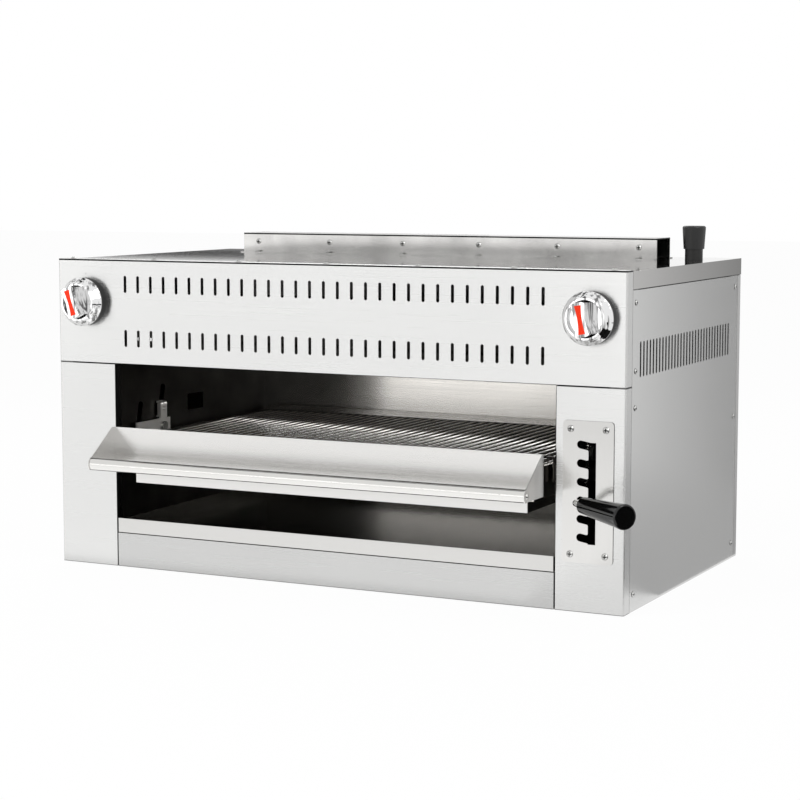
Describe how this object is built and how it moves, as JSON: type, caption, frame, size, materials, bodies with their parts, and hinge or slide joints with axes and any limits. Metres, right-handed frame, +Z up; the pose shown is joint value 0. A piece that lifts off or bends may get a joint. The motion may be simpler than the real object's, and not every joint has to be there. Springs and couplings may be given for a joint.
{
  "type": "gas cheese melter",
  "caption": "Counter-top gas cheese melter with an infrared burner roof, a roll-out rack raised by a lever in a notched gate, a drip pan, a crumb tray and gas valve knobs.",
  "frame": {"origin": "centre of the leg-hole pattern, on the underside of the base pan, which is the surface the casing stands on", "axes": "+Z up, -Y out of the front, +X to the right as seen from the front"},
  "size_m": [0.9784, 0.6558, 0.5135],
  "materials": {
    "brushed": "satin brushed stainless steel",
    "top": "smooth stainless steel with a soft reflection",
    "dark_liner": "stainless liner, dark in the cavity's shade",
    "galvanised": "aluminised sheet steel",
    "ceramic": "porous infrared burner tile",
    "screen": "heat-stained steel rod",
    "mixer": "cast mixer tube",
    "black_pipe": "black steel pipe",
    "brass": "plain brass",
    "pilot": "bent steel tube",
    "black_plastic": "black moulded plastic",
    "grip": "glossy black phenolic",
    "screws": "stainless screw heads",
    "knob": "bright plated die casting",
    "red": "red inlay",
    "tube": "polished stainless tube",
    "rod": "bright steel rod",
    "linkage": "plated steel",
    "spring": "oiled spring steel",
    "rack_steel": "stainless rail and frame",
    "grid": "dark heat-stained rods",
    "pan": "dark stainless pan"
  },
  "bodies": {
    "casing": {"base_pan": "brushed", "corner_posts": "galvanised", "side_panel_left": "brushed", "side_panel_right": "brushed", "back_panel": "brushed", "top_cover": "top", "control_panel": "brushed", "panel_stiffener": "galvanised", "column_left": "brushed", "column_right": "brushed", "inner_wall_left": "dark_liner", "inner_wall_right": "dark_liner", "inner_back_wall": "brushed", "cavity_floor": "dark_liner", "kick_panel": "brushed", "flue_riser": "brushed", "flue_duct": "galvanised", "burner_frame": "galvanised", "burner_left": "galvanised", "burner_right": "galvanised", "burner_tiles": "ceramic", "radiant_screens": "screen", "mixer_tubes": "mixer", "gas_manifold": "black_pipe", "gas_valve_left": "brass", "gas_valve_right": "brass", "orifice_lines": "brass", "gas_inlet_pipe": "black_pipe", "pilot_burners": "pilot", "gate_plate": "brushed", "gate_screws": "screws", "side_screws": "screws", "top_screws": "screws", "knob_bezels": "black_plastic", "shaft_bearings": "brass", "wall_studs": "linkage", "lift_springs": "spring"},
    "knob_left": {"knob_left": "knob", "knob_inlay_left": "red", "valve_stem_left": "brass"},
    "knob_right": {"knob_right": "knob", "knob_inlay_right": "red", "valve_stem_right": "brass"},
    "lift_frame": {"lift_shaft": "linkage", "lift_arms": "linkage", "lever_arm": "linkage"},
    "lever": {"lever_rod": "rod", "lever_grip": "grip"},
    "tie_links": {"tie_link_left": "linkage", "tie_link_right": "linkage"},
    "carriage": {"carriage_rails": "rack_steel", "hangers": "linkage", "link_pins": "linkage"},
    "rack": {"rack_frame": "rack_steel", "grid": "grid", "rack_front": "brushed", "handle_tube": "tube"},
    "drip_pan": {"drip_pan": "pan"},
    "crumb_tray": {"crumb_tray": "dark_liner"},
    "inlet_cap": {"inlet_cap": "black_plastic"}
  },
  "joints": [
    {"name": "knob_left_turn", "type": "hinge", "parent": "casing", "child": "knob_left", "pos_m": [-0.4065, -0.251, 0.4], "axis": [0, 1, 0], "range_deg": [-152, 18]},
    {"name": "knob_right_turn", "type": "hinge", "parent": "casing", "child": "knob_right", "pos_m": [0.4065, -0.251, 0.4], "axis": [0, 1, 0], "range_deg": [-160, 10]},
    {"name": "lift", "type": "hinge", "parent": "casing", "child": "lift_frame", "pos_m": [0, 0.222, 0.16], "axis": [-1, 0, 0], "range_deg": [-6.16, 9.04], "deforming": ["lift_springs"]},
    {"name": "lever_swing", "type": "hinge", "parent": "lift_frame", "child": "lever", "pos_m": [0.4103, -0.06384, 0.12246], "axis": [0.1736, 0, 0.9848], "range_deg": [-4.93, 0]},
    {"name": "carriage_level", "type": "hinge", "parent": "lift_frame", "child": "carriage", "pos_m": [0, -0.134, 0.202], "axis": [-1, 0, 0], "range_deg": [-9.05, 6.17]},
    {"name": "tie_turn", "type": "hinge", "parent": "casing", "child": "tie_links", "pos_m": [0, 0.16, 0.138], "axis": [-1, 0, 0], "range_deg": [-6.17, 9.05]},
    {"name": "rack_slide", "type": "slide", "parent": "carriage", "child": "rack", "axis": [0, -1, 0], "range_m": [0, 0.3]},
    {"name": "drip_pan_slide", "type": "slide", "parent": "rack", "child": "drip_pan", "axis": [0, -1, 0], "range_m": [0, 0.36]},
    {"name": "crumb_tray_slide", "type": "slide", "parent": "casing", "child": "crumb_tray", "axis": [0, -1, 0], "range_m": [0, 0.36]},
    {"name": "inlet_cap_pull", "type": "slide", "parent": "casing", "child": "inlet_cap", "axis": [0, 0, 1], "range_m": [0, 0.06]}
  ],
  "couplings": [
    {"joint": "carriage_level", "follows": "lift", "ratio": -1},
    {"joint": "tie_turn", "follows": "lift", "ratio": 1}
  ]
}
